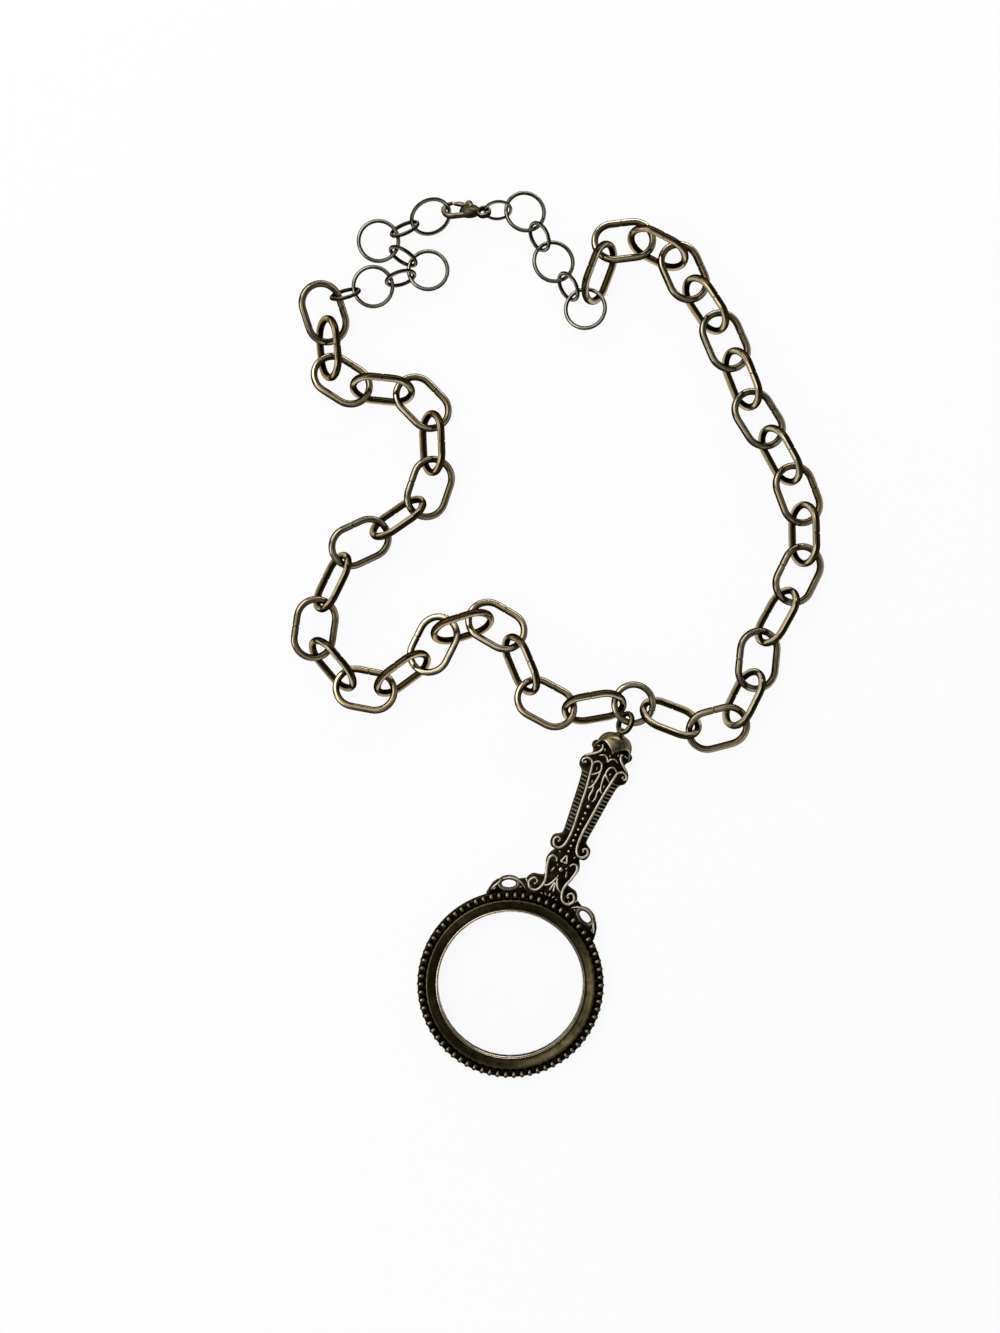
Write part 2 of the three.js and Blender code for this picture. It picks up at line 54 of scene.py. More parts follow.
# %% [markdown]
# ## The table
# The photograph looks straight down on a white table under soft light. A studio would use a large white
# sheet. The floor here is a plain diffuse sheet that shines white in reflections. To the camera it is mostly
# clear, with a white sky behind, so it is white, still keeps a soft shadow, and hides no link when a joint
# swings the chain below the table. Away from the necklace it thins to nothing, so a view from the side shows
# no horizon. Such a finish is a small tree of nodes, so a helper that makes and joins a node comes first.

# %% Node helpers
def node(tree, kind, inputs=(), operation=None):
    """A shader node, whose inputs take a value or the output of another node."""
    made = tree.nodes.new(kind)
    if operation:
        made.operation = operation
    for socket, source in dict(inputs).items():
        if isinstance(source, bpy.types.NodeSocket):
            tree.links.new(source, made.inputs[socket])
        else:
            made.inputs[socket].default_value = source
    return made


def light_path_share(tree, *rays):
    """One where the ray is any of these kinds, else zero."""
    path = node(tree, "ShaderNodeLightPath")
    share = path.outputs[rays[0]]
    for ray in rays[1:]:
        share = node(tree, "ShaderNodeMath", {0: share, 1: path.outputs[ray]}, "MAXIMUM").outputs[0]
    return share


print("node helpers ready in Blender", bpy.app.version_string)

# %% Floor finish
PURE_WHITE = (1, 1, 1, 1)
TABLE_WHITE = (0.95, 0.95, 0.95, 1)
FLOOR_SHINE = 0.92  # how clear to the camera and how bright in reflections the floor is near the necklace
FLOOR_FADE = (0.13, 0.6)  # metres from the middle between which it grows fully clear

table_sheet = bpy.data.materials.new("white_table")
table_sheet.use_nodes = True
tree = table_sheet.node_tree
tree.nodes.clear()
matt = node(tree, "ShaderNodeBsdfDiffuse", {"Color": TABLE_WHITE})
shine = node(tree, "ShaderNodeEmission", {"Color": PURE_WHITE, "Strength": 1.0})
clear = node(tree, "ShaderNodeBsdfTransparent")
spot = node(tree, "ShaderNodeNewGeometry")
away = node(tree, "ShaderNodeVectorMath", {0: spot.outputs["Position"]}, "LENGTH")
thin = node(tree, "ShaderNodeMapRange", {
    0: away.outputs["Value"], "From Min": FLOOR_FADE[0], "From Max": FLOOR_FADE[1],
    "To Min": FLOOR_SHINE, "To Max": 1.0,
})
layer = matt
for look, rays in ((shine, ("Is Glossy Ray", "Is Transmission Ray")), (clear, ("Is Camera Ray",))):
    share = node(tree, "ShaderNodeMath", {0: light_path_share(tree, *rays), 1: thin.outputs[0]}, "MULTIPLY")
    layer = node(tree, "ShaderNodeMixShader", {0: share.outputs[0], 1: layer.outputs[0], 2: look.outputs[0]})
node(tree, "ShaderNodeOutputMaterial", {"Surface": layer.outputs[0]})
print("floor finish of", len(tree.nodes), "nodes")

# %% Floor sheet
FLOOR_REACH = 6.0
FLOOR_DROP = 0.0001

corners = [(-1, -1), (1, -1), (1, 1), (-1, 1)]
sheet = bpy.data.meshes.new("table")
sheet.from_pydata([(x * FLOOR_REACH, y * FLOOR_REACH, -FLOOR_DROP) for x, y in corners], [], [(0, 1, 2, 3)])
sheet.materials.append(table_sheet)
table = bpy.data.objects.new("table", sheet)
bpy.context.scene.collection.objects.link(table)
print("table:", 2 * FLOOR_REACH, "m wide")

# %% [markdown]
# ## The sky
# Polished metal shows what stands round it, so it needs both dark and light to reflect. The sky that lights
# it is pale near the horizon, dark overhead and bright on one side like a window, with soft patches like a
# room's lamps. A photographed sky would need an image, so three plain ramps are added up instead. The camera
# and the glass see plain white in its place.

# %% Sky levels
SKY_STOPS = [(0.0, 0.85), (0.2, 0.45), (0.45, 0.16), (0.75, 0.07), (1.0, 0.06)]
WINDOW_WAY = (-0.36, 0.30, 0.88)
WINDOW_STOPS = [(0.80, 0.0), (0.93, 0.2), (0.985, 0.5), (1.0, 0.58)]
PATCH_SCALE = 3.4
PATCH_STOPS = [(0.44, 0.0), (0.54, 0.03), (0.60, 0.4), (0.68, 0.6)]


def ramp(tree, factor, stops):
    """A colour ramp over a factor, from stops of (position, colour)."""
    fade = node(tree, "ShaderNodeValToRGB", {0: factor})
    elements = fade.color_ramp.elements
    while len(elements) < len(stops):
        elements.new(0.5)
    for stop, (position, colour) in zip(elements, stops):
        stop.position = position
        stop.color = (*colour, 1)
    return fade.outputs[0]


sky = bpy.data.worlds.new("studio")
sky.use_nodes = True
tree = sky.node_tree
tree.nodes.clear()
way = node(tree, "ShaderNodeTexCoord").outputs["Generated"]
upward = node(tree, "ShaderNodeSeparateXYZ", {0: way}).outputs["Z"]
window_way = Vector(WINDOW_WAY).normalized()
toward = node(tree, "ShaderNodeVectorMath", {0: way, 1: window_way}, "DOT_PRODUCT").outputs["Value"]
cloud = node(tree, "ShaderNodeTexNoise", {"Vector": way, "Scale": PATCH_SCALE, "Detail": 1.0}).outputs["Fac"]
greys = []
for factor, stops in ((upward, SKY_STOPS), (toward, WINDOW_STOPS), (cloud, PATCH_STOPS)):
    greys.append(ramp(tree, factor, [(position, (bright,) * 3) for position, bright in stops]))
level = greys[0]
for grey in greys[1:]:
    level = node(tree, "ShaderNodeVectorMath", {0: level, 1: grey}).outputs[0]
print("sky of", len(SKY_STOPS), "levels, a window and soft patches")

# %% Sky as light and as background
glow = node(tree, "ShaderNodeBackground", {"Color": level})
white = node(tree, "ShaderNodeBackground", {"Color": PURE_WHITE})
seen = light_path_share(tree, "Is Camera Ray", "Is Transmission Ray")
choose = node(tree, "ShaderNodeMixShader", {0: seen, 1: glow.outputs[0], 2: white.outputs[0]})
node(tree, "ShaderNodeOutputWorld", {"Surface": choose.outputs[0]})
bpy.context.scene.world = sky
bpy.context.scene.view_settings.view_transform = "Standard"
print("sky of", len(tree.nodes), "nodes")

# %% [markdown]
# ## Soft boxes and camera
# Three soft boxes stand to the left and behind, as a studio would set them for jewellery. The camera hangs
# straight above the middle of the picture. That middle is measured from the lens, because the lens is the
# piece whose place is plainest in the photograph.

# %% Soft boxes
SOFT_BOXES = {  # place and size in metres, and watts
    "key_box": ((-0.42, 0.40, 0.62), (0.55, 0.55), 2.4),
    "fill_box": ((-0.62, -0.20, 0.50), (0.30, 0.60), 1.6),
    "strip_box": ((0.10, 0.70, 0.34), (0.70, 0.10), 1.3),
}
FRAME_MIDDLE = (-2.52, 76.48)  # mm from the lens
AIM_HEIGHT = 0.004

lens_low, lens_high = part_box("lens")
lens_middle = (lens_low + lens_high) / 2
aim = Vector((lens_middle.x + FRAME_MIDDLE[0] * MM, lens_middle.y + FRAME_MIDDLE[1] * MM, AIM_HEIGHT))
for name, (place, size, watts) in SOFT_BOXES.items():
    lamp = bpy.data.lights.new(name, "AREA")
    lamp.shape = "RECTANGLE"
    lamp.size, lamp.size_y = size
    lamp.energy = watts
    box = bpy.data.objects.new(name, lamp)
    box.location = place
    box.rotation_euler = (aim - Vector(place)).to_track_quat("-Z", "Y").to_euler()
    bpy.context.scene.collection.objects.link(box)
print(len(SOFT_BOXES), "soft boxes")

# %% Camera
FRAME_HEIGHT = 0.320
LENS = 55.0
SENSOR = 36.0
SIGHT = (0.01, 20.0)

eye = bpy.data.cameras.new("camera")
eye.lens = LENS
eye.sensor_width = SENSOR
eye.clip_start, eye.clip_end = SIGHT
camera = bpy.data.objects.new("camera", eye)
camera.location = aim + Vector((0, 0, FRAME_HEIGHT * LENS / SENSOR))
bpy.context.scene.collection.objects.link(camera)
bpy.context.scene.camera = camera
print("camera", round(camera.location.z, 3), "m above the table")

# %% [markdown]
# ## Antique metal
# The metal is plated brass that was blackened and then wiped, so raised places are bright and hollows stay
# dark. A painted mask would need an image. Each mesh here carries a number of wear at every point instead:
# 0 in a hollow, 1 on a rubbed edge. On the wires and beads it also holds painted light: their flat faces,
# edge lines and crowns are painted brighter and the wires' sides darker, as light from above would show
# them. One function turns this number and three noises into colour, roughness and a fine bump, and each
# finish is that function with its own colours. No two links of a chain are plated quite alike, so the links
# also get a slight warm or cool cast by chance.

# %% Antique metal
GRAZING_TINT = (0.2, 0.155, 0.09, 1)
TONE_STOPS = (0.08, 0.5, 0.95)
MOTTLE_NOISE = (520, 5)  # scale and detail
DULL_NOISE = (1300, 3)
DULL_RANGE = (0.3, 0.7)
PIT_NOISE = (2600, 4)
PIT_DEPTH = 0.00012


def antique(name, dark, middle, bright, rough=(0.26, 0.44), grain=0.08, mottle=0.4, casts=None):
    """A blackened and wiped metal: colours from hollow to rubbed edge and painted highlight, and a range of
    roughness.
    """
    metal = bpy.data.materials.new(name)
    metal.use_nodes = True
    tree = metal.node_tree
    shader = tree.nodes["Principled BSDF"]
    shader.inputs["Metallic"].default_value = 1.0
    shader.inputs["Specular Tint"].default_value = GRAZING_TINT
    place = node(tree, "ShaderNodeTexCoord").outputs["Object"]
    chance = node(tree, "ShaderNodeObjectInfo").outputs["Random"]
    shifted = node(tree, "ShaderNodeVectorMath", {0: place, 1: chance}).outputs[0]

    def noise(scale, detail):
        settings = {"Vector": shifted, "Scale": scale, "Detail": detail}
        return node(tree, "ShaderNodeTexNoise", settings).outputs["Fac"]

    # the wear number, which on wires and beads also holds painted highlight and painted shade
    rub_and_highlight = node(tree, "ShaderNodeAttribute")
    rub_and_highlight.attribute_name = "wear_and_highlight"
    spread = node(tree, "ShaderNodeMath", {0: noise(*MOTTLE_NOISE), 1: mottle, 2: -mottle / 2}, "MULTIPLY_ADD")
    total = node(tree, "ShaderNodeMath", {0: rub_and_highlight.outputs["Fac"], 1: spread.outputs[0]}, "ADD")
    colour = ramp(tree, total.outputs[0], list(zip(TONE_STOPS, (dark, middle, bright))))
    if casts:
        cast = ramp(tree, chance, list(enumerate(casts)))
        colour = node(tree, "ShaderNodeVectorMath", {0: colour, 1: cast}, "MULTIPLY").outputs[0]
    dull = node(tree, "ShaderNodeMapRange", {
        0: noise(*DULL_NOISE), "From Min": DULL_RANGE[0], "From Max": DULL_RANGE[1],
        "To Min": rough[0], "To Max": rough[1],
    })
    pits = node(tree, "ShaderNodeBump", {"Height": noise(*PIT_NOISE), "Strength": grain, "Distance": PIT_DEPTH})
    for socket, source in (("Base Color", colour), ("Roughness", dull.outputs[0]), ("Normal", pits.outputs[0])):
        tree.links.new(source, shader.inputs[socket])
    return metal


print("wear runs over colour stops at", TONE_STOPS)

# %% Finishes
LINK_CASTS = ((1.0, 0.91, 0.82), (0.90, 0.95, 0.96))

chain_brass = antique(
    "chain_brass", (0.036, 0.025, 0.010), (0.325, 0.268, 0.163), (0.89, 0.82, 0.64),
    (0.09, 0.2), 0.012, 0.25, LINK_CASTS,
)
ring_brass = antique(
    "ring_brass", (0.020, 0.017, 0.012), (0.16, 0.147, 0.11), (0.60, 0.57, 0.49), (0.17, 0.3), 0.015, 0.25,
)
black_brass = antique(
    "black_brass", (0.010, 0.007, 0.003), (0.10, 0.080, 0.048), (0.78, 0.70, 0.56), mottle=0.55,
)
bead_brass = antique(
    "bead_brass", (0.008, 0.006, 0.003), (0.10, 0.082, 0.05), (0.80, 0.73, 0.60), (0.12, 0.24), 0.04, 0.3,
)
olive_brass = antique(
    "olive_brass", (0.014, 0.010, 0.004), (0.15, 0.125, 0.062), (0.66, 0.58, 0.42), (0.2, 0.36),
)
clasp_brass = antique("clasp_brass", (0.014, 0.011, 0.005), (0.105, 0.088, 0.05), (0.52, 0.46, 0.35))
finishes = (chain_brass, ring_brass, black_brass, bead_brass, olive_brass, clasp_brass)
print("finishes:", [metal.name for metal in finishes])

# %% [markdown]
# ## Meshes from patches
# Every piece is a heap of patches, and a patch is points in millimetres, faces and the wear of each point,
# which on wires and beads also holds painted highlight and painted shade. Blender's own primitives would give
# no control over this number, so each patch is a small grid built from numbers: a swept wire, a turned ring,
# a bead. One function then makes the object, turns its faces outwards and rides it on its body.

# %% Patches and pieces
def grid_faces(rows, columns, round_rows=False, round_columns=True):
    """Four-sided faces of a grid of points, closed where it is round."""
    row = np.arange(rows if round_rows else rows - 1)[:, None]
    column = np.arange(columns if round_columns else columns - 1)[None, :]
    below, beside = (row + 1) % rows, (column + 1) % columns
    corners = [(row, column), (row, beside), (below, beside), (below, column)]
    numbers = [along * columns + across for along, across in corners]
    return np.stack(np.broadcast_arrays(*numbers), -1).reshape(-1, 4).tolist()


def make_piece(name, patches, material, body, place, crease=40):
    """An object from patches of (points in mm, faces, wear with painted highlight), in place and riding on its
    body.
    """
    points, faces, wear_and_highlight = [], [], []
    for patch_points, patch_faces, patch_wear_and_highlight in patches:
        start = sum(len(group) for group in points)
        points.append(np.asarray(patch_points, float).reshape(-1, 3))
        faces += [[corner + start for corner in face] for face in patch_faces]
        wear_and_highlight.append(np.broadcast_to(np.asarray(patch_wear_and_highlight, float).ravel(), len(points[-1])))
    mesh = bpy.data.meshes.new(name)
    mesh.from_pydata((np.concatenate(points) * MM).tolist(), [], faces)
    # the wear number goes to a point attribute; on wires and beads it also holds painted highlight and shade
    mesh.attributes.new("wear_and_highlight", "FLOAT", "POINT").data.foreach_set("value", np.concatenate(wear_and_highlight))
    solid = bmesh.new()
    solid.from_mesh(mesh)
    bmesh.ops.recalc_face_normals(solid, faces=solid.faces)
    solid.to_mesh(mesh)
    solid.free()
    mesh.transform(place)
    mesh.polygons.foreach_set("use_smooth", [True] * len(mesh.polygons))
    mesh.set_sharp_from_angle(angle=math.radians(crease))
    mesh.materials.append(material)
    piece = bpy.data.objects.new(name, mesh)
    bpy.context.scene.collection.objects.link(piece)
    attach(piece, body)
    return piece


print("a tube of 3 rows of 4 points has", len(grid_faces(3, 4)), "faces")

# %% [markdown]
# ## Chain links
# A link is square wire with rounded edges, bent into a stadium, with a butt seam in one straight side. The
# wire's section is swept round the stadium by hand, because that lets the seam be a real groove and the wear
# follow the section. Its flat faces are painted bright and its sides dark, as painted highlight and painted
# shade; a line near each outer edge is rubbed bright and painted as a highlight too; and the inside of the
# loop stays dark.

# %% Wire section
WIRE_SIDES = 20
# painted light: flat faces brighter than the sides, and a bright line near each outer edge, partly rubbed and
# partly a painted highlight
FLAT_RUB_AND_HIGHLIGHT = 0.56
EDGE_RUB_AND_HIGHLIGHT = 0.34
EDGE_PLACE = 0.4
EDGE_SPREAD = 0.22
INSIDE_LOSS = 0.25
SEAM_DARK = 2.6


def wire_section(half, squareness):
    """Outward and upward offsets of a rounded square wire, and the wear and painted highlight on each."""
    angle = np.linspace(0, 2 * math.pi, WIRE_SIDES, endpoint=False)
    out, up = np.cos(angle), np.sin(angle)
    rounder = 2 / squareness
    # painted highlight on the flat faces and painted shade on the sides
    face_rub_and_highlight = FLAT_RUB_AND_HIGHLIGHT * np.abs(up) ** 3
    # a rubbed line near the outer edge, also a painted highlight
    rub_and_highlight = EDGE_RUB_AND_HIGHLIGHT * np.exp(-(((out - EDGE_PLACE) / EDGE_SPREAD) ** 2))
    wear_and_highlight = np.clip(face_rub_and_highlight + rub_and_highlight - INSIDE_LOSS * np.clip(-out, 0, 1), 0, 1)
    return half * np.sign(out) * np.abs(out) ** rounder, half * np.sign(up) * np.abs(up) ** rounder, wear_and_highlight


def swept_loop(line, normals, fullness, section):
    """A closed wire: its flat middle line, outward normals, and how full the section is at each point."""
    out, up, wear_and_highlight = section
    line, normals, fullness = np.asarray(line), np.asarray(normals), np.asarray(fullness)[:, None]
    points = np.empty((len(line), len(out), 3))
    points[..., 0] = line[:, :1] + normals[:, :1] * out * fullness
    points[..., 1] = line[:, 1:] + normals[:, 1:] * out * fullness
    points[..., 2] = up * fullness
    faces = grid_faces(len(line), len(out), round_rows=True)
    return points, faces, wear_and_highlight * (1 - SEAM_DARK * (1 - fullness)).clip(0, 1)


print("wire of", WIRE_SIDES, "sides")

# %% Link mesh
LINK_LENGTH = 15.9
LINK_WIDTH = 11.0
LINK_WIRE = 1.8
WIRE_TRIM = 0.93
WIRE_SQUARE = 2.6
ARC_STEPS = 20
SEAM = [(1.3, 1), (0.17, 1), (0.11, 0.84), (-0.11, 0.84), (-0.17, 1), (-1.3, 1)]  # place and fullness


def link_patch():
    """One link, flat in X and Y, with its seam in the middle of one side."""
    half_wire = LINK_WIRE / 2
    radius = LINK_WIDTH / 2 - half_wire
    straight = (LINK_LENGTH - LINK_WIDTH) / 2
    line, normals, fullness = [], [], []
    for side in (1, -1):
        for angle in np.linspace(-math.pi / 2, math.pi / 2, ARC_STEPS + 1):
            way = np.array([math.cos(angle), math.sin(angle)]) * side
            line.append(way * radius + np.array([straight * side, 0]))
            normals.append(way)
            fullness.append(1.0)
        for x, full in SEAM if side > 0 else [(0, 1)]:
            line.append(np.array([x, radius]) * side)
            normals.append(np.array([0, 1]) * side)
            fullness.append(full)
    return swept_loop(line, normals, fullness, wire_section(half_wire * WIRE_TRIM, WIRE_SQUARE))


link = link_patch()
print("link mesh:", link[0].shape[0], "stations of", WIRE_SIDES, "points")

# %% [markdown]
# The solid model holds each link where it lies on the table, so its own points give the link's centre and
# its three directions: the longest spread runs along the link, and the shortest is across its plane. That is
# a principal component fit, and it keeps this file free of a table of places. A round ring has no longest
# spread, so its seam is turned to one chosen side.

# %% Place of a flat loop
SEAM_SIDE = (0.37, 0.93, 0.0)


def node_points(node_name):
    """The points of a solid at rest, in metres."""
    return np.array([vertex.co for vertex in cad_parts[node_name].data.vertices])


def loop_place(node_name, round_loop=False):
    """Where a link or ring lies, from the spread of its solid's points, and its size."""
    points = node_points(node_name)
    middle = points.mean(0)
    _, ways = np.linalg.eigh(np.cov((points - middle).T))
    across, along = ways[:, 0], ways[:, 2]
    across = across * (1 if across[2] >= 0 else -1)
    if round_loop:
        along = np.cross(across, SEAM_SIDE)
    along = along / np.linalg.norm(along) * (1 if along[0] >= 0 else -1)
    axes = np.stack([along, np.cross(across, along), across], 1)
    reach = (points - middle) @ axes
    middle = middle + axes @ ((reach.max(0) + reach.min(0)) / 2)
    place = Matrix.Identity(4)
    for row in range(3):
        place[row][0:4] = (*axes[row], middle[row])
    return place, reach.max(0) - reach.min(0)


link_names = [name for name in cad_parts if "_link_" in name]
for name in sorted(link_names):
    place, _ = loop_place(name)
    piece = make_piece("brass_" + name, [link], chain_brass, name, place)
    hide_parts(name)
print(len(link_names), "links in place")

# %% [markdown]
# ## Thin rings
# The ends of the chain are runs of thin round rings, some wide and some small, bent from wire and closed by
# hand, and one stout ring carries the pendant. Each ring's size is measured on its solid, so one function
# makes them all.

# %% Ring mesh
RING_STEPS = 48
RING_GAP = 0.10
RING_NIP = 0.8
ROUND_WIRE = 2.0
STOUT_SQUARE = 2.4


def ring_patch(diameter, wire, squareness=ROUND_WIRE):
    """A wire ring with a seam, flat in X and Y."""
    radius = (diameter - wire) / 2
    turns = np.linspace(0, 2 * math.pi, RING_STEPS, endpoint=False) + math.pi / RING_STEPS
    gap = RING_GAP / radius
    stations = [(angle, 1.0) for angle in turns]
    stations += [(-gap * 1.5, 1.0), (-gap, RING_NIP), (gap, RING_NIP), (gap * 1.5, 1.0)]
    stations.sort(key=lambda station: station[0] % (2 * math.pi))
    ways = np.array([(math.cos(angle), math.sin(angle)) for angle, _ in stations])
    return swept_loop(ways * radius, ways, [full for _, full in stations], wire_section(wire / 2, squareness))


ring_names = [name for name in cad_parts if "_ring_" in name and "retaining" not in name] + ["centre_ring"]
for name in sorted(ring_names):
    place, size = loop_place(name, round_loop=True)
    stout = name == "centre_ring"
    wire = size[2] / MM * (WIRE_TRIM if stout else 1)
    patch = ring_patch(size[0] / MM, wire, STOUT_SQUARE if stout else ROUND_WIRE)
    piece = make_piece("wire_" + name, [patch], chain_brass if stout else ring_brass, name, place)
    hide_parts(name)
print(len(ring_names), "rings in place")

# %% [markdown]
# ## The pendant's rim
# The rim is a turned ring: a row of beads stands in a dark groove, then a smooth hollow band slopes down to
# a bright lip that holds the lens. A profile turned about the lens axis gives the ring, and the beads are
# separate small grids set round it. The pendant is built upright about its lens and then turned to its lean.

# %% Pendant's place
HANDLE_LEAN = 23.6
pendant_lean = Matrix.Rotation(math.radians(-HANDLE_LEAN), 4, "Z")
pendant_place = Matrix.Translation((lens_middle.x, lens_middle.y, 0)) @ pendant_lean
print("lens middle in mm:", [round(value / MM, 2) for value in lens_middle])

# %% Turned rim
RIM_STEPS = 192
RIM_PROFILE = [  # radius, height and wear, from the back round the outside to the lip
    (18.8, 0.35, 0.2), (21.9, 0.35, 0.2), (22.25, 0.6, 0.25), (22.4, 1.0, 0.25), (22.4, 2.2, 0.15),
    (22.25, 2.55, 0.15), (21.6, 2.7, 0.0), (20.9, 2.6, 0.0), (20.6, 2.8, 0.02), (20.45, 3.25, 0.1),
    (20.32, 3.52, 0.28), (20.15, 3.62, 0.38), (19.9, 3.6, 0.25), (19.5, 3.44, 0.19), (19.1, 3.24, 0.18),
    (18.7, 3.07, 0.18), (18.4, 2.97, 0.17), (18.15, 2.92, 0.12), (18.0, 2.95, 0.3), (17.93, 3.08, 0.8),
    (17.82, 3.12, 0.95), (17.72, 3.04, 0.4), (17.66, 2.96, 0.1), (17.6, 3.0, 0.5), (17.52, 3.06, 1.0),
    (17.42, 2.98, 0.9), (17.4, 2.8, 0.5), (17.4, 2.3, 0.3), (18.75, 2.25, 0.1), (18.8, 1.4, 0.1),
]


def turned(profile, steps, ring=True):
    """A shape turned about Z from rows of (radius, height, wear): a ring, or closed by its end rows."""
    radius, height, wear_and_highlight = np.array(profile).T
    angle = np.linspace(0, 2 * math.pi, steps, endpoint=False)[:, None]
    points = np.stack([radius * np.cos(angle), radius * np.sin(angle), height + 0 * angle], -1)
    faces = grid_faces(steps, len(profile), True, ring)
    if not ring:
        faces += [[step * len(profile) + row for step in range(steps)] for row in (0, len(profile) - 1)]
    return points, faces, np.broadcast_to(wear_and_highlight, points.shape[:2])


rim_patch = turned(RIM_PROFILE, RIM_STEPS)
rim = make_piece("rim_casting", [rim_patch], olive_brass, "magnifier", pendant_place)
print("rim turned in", RIM_STEPS, "steps")

# %% Rim beads
RIM_BEADS = 70
BEAD_REACH = 21.6
BEAD_HEIGHT = 3.1
BEAD_RADII = (0.95, 0.7, 1.0)


def bead(middle, radii, facing=0.0, rows=7, columns=12, low=0.05, high=1.0):
    """A rounded bead whose wear rises from its foot to its crown, partly rubbed wear and partly a painted
    highlight.
    """
    tilt = np.linspace(0, math.pi, rows)[:, None]
    round_angle = np.linspace(0, 2 * math.pi, columns, endpoint=False)[None, :]
    x = radii[0] * np.sin(tilt) * np.cos(round_angle)
    y = radii[1] * np.sin(tilt) * np.sin(round_angle)
    z = radii[2] * np.cos(tilt) + 0 * round_angle
    cosine, sine = math.cos(facing), math.sin(facing)
    points = np.stack([x * cosine - y * sine, x * sine + y * cosine, z], -1)
    ring = (points + np.asarray(middle))[1:-1]
    top, foot = np.asarray(middle) + (0, 0, radii[2]), np.asarray(middle) - (0, 0, radii[2])
    every = np.concatenate([ring.reshape(-1, 3), [top, foot]])
    faces = grid_faces(rows - 2, columns)
    last = (rows - 3) * columns
    for column in range(columns):
        following = (column + 1) % columns
        faces.append([column, following, len(every) - 2])
        faces.append([last + column, last + following, len(every) - 1])
    # the crown is painted brighter: partly a rubbed top, partly a painted highlight
    crown = np.clip((every[:, 2] - middle[2]) / radii[2], 0, 1)
    return every, faces, low + (high - low) * crown**3


rim_beads = []
for count in range(RIM_BEADS):
    angle = 2 * math.pi * (count + 0.5) / RIM_BEADS
    spot = (BEAD_REACH * math.cos(angle), BEAD_REACH * math.sin(angle), BEAD_HEIGHT)
    # each bead's bright crown is partly a painted highlight
    rim_beads.append(bead(spot, BEAD_RADII, angle, 9, 14, low=0.0, high=0.74))
make_piece("rim_beading", rim_beads, bead_brass, "magnifier", pendant_place)
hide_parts("magnifier_frame")
print("rim with", RIM_BEADS, "beads")

# %% [markdown]
# ## Lens and its ring
# The lens is a thin biconvex glass, clear and a little glossy. The solid's own lens has few faces, so a fine
# turned one replaces it. Its alpha lets the table show through without the dark shadow of solid glass, and
# faint smears make the gloss uneven. The ring that holds the lens from behind keeps its solid and takes the
# dark finish at the end.

# %% Clear glass
GLASS_TINT = (0.97, 0.985, 0.98, 1)
GLASS_BEND = 1.5
GLASS_ALPHA = 0.35
SMEAR_SCALE = 180
SMEAR_MOST = 0.06

glass = bpy.data.materials.new("clear_glass")
glass.use_nodes = True
tree = glass.node_tree
clear = tree.nodes["Principled BSDF"]
clear.inputs["Base Color"].default_value = GLASS_TINT
clear.inputs["Transmission Weight"].default_value = 1.0
clear.inputs["IOR"].default_value = GLASS_BEND
clear.inputs["Alpha"].default_value = GLASS_ALPHA
streaks = node(tree, "ShaderNodeTexNoise", {"Scale": SMEAR_SCALE})
smear = node(tree, "ShaderNodeMapRange", {0: streaks.outputs["Fac"], "To Min": 0.0, "To Max": SMEAR_MOST})
tree.links.new(smear.outputs[0], clear.inputs["Roughness"])
print("glass bends light by", GLASS_BEND)

# %% Glass lens
LENS_RADIUS = 18.4
LENS_EDGE = (1.25, 1.65)
LENS_CROWN = (1.02, 1.88)
LENS_ROWS = np.linspace(0.04, 1, 14)  # shares of the radius, from a small flat middle
LENS_STEPS = 96
LENS_CREASE = 30


def lens_face(edge, crown):
    """One face of the lens, from its middle out to its edge."""
    return [(LENS_RADIUS * share, edge + (crown - edge) * (1 - share * share), 0.5) for share in LENS_ROWS]


lens_top = lens_face(LENS_EDGE[1], LENS_CROWN[1])
lens_foot = lens_face(LENS_EDGE[0], LENS_CROWN[0])
lens_patch = turned(lens_top + lens_foot[::-1], LENS_STEPS, ring=False)
lens = make_piece("glass_lens", [lens_patch], glass, "magnifier", pendant_place, LENS_CREASE)
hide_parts("lens")
print("lens", 2 * LENS_RADIUS, "mm across")

# %% [markdown]
# ## Scrolls on the handle
# The handle is cast with scrollwork: two rails run up its sides and curl outwards at both ends, a vase of two
# S-scrolls stands on the rim, and leaves, ribs and beads fill the rest. A relief like this could be sculpted,
# but a scroll is really a bent rod that tapers, so each one is a tube along a curve, laid on a dark plate.

# %% Tubes and curves
TAPER = 4  # a rod grows to its full thickness over one part in this many of its length
CREST_WEAR = 1.15


def smooth_line(points, steps=6):
    """A smooth curve that passes through each of these points."""
    points = np.asarray(points, float)
    ends = np.concatenate([[2 * points[0] - points[1]], points, [2 * points[-1] - points[-2]]])
    line = []
    for a, b, c, d in zip(ends, ends[1:], ends[2:], ends[3:]):
        for t in np.linspace(0, 1, steps, endpoint=False):
            line.append(b + 0.5 * t * (c - a + t * (2 * a - 5 * b + 4 * c - d + t * (3 * (b - c) + d - a))))
    return np.array(line + [points[-1]])


def mirrored(line):
    """The same line on the other side of the handle."""
    return np.asarray(line) * (-1, 1)


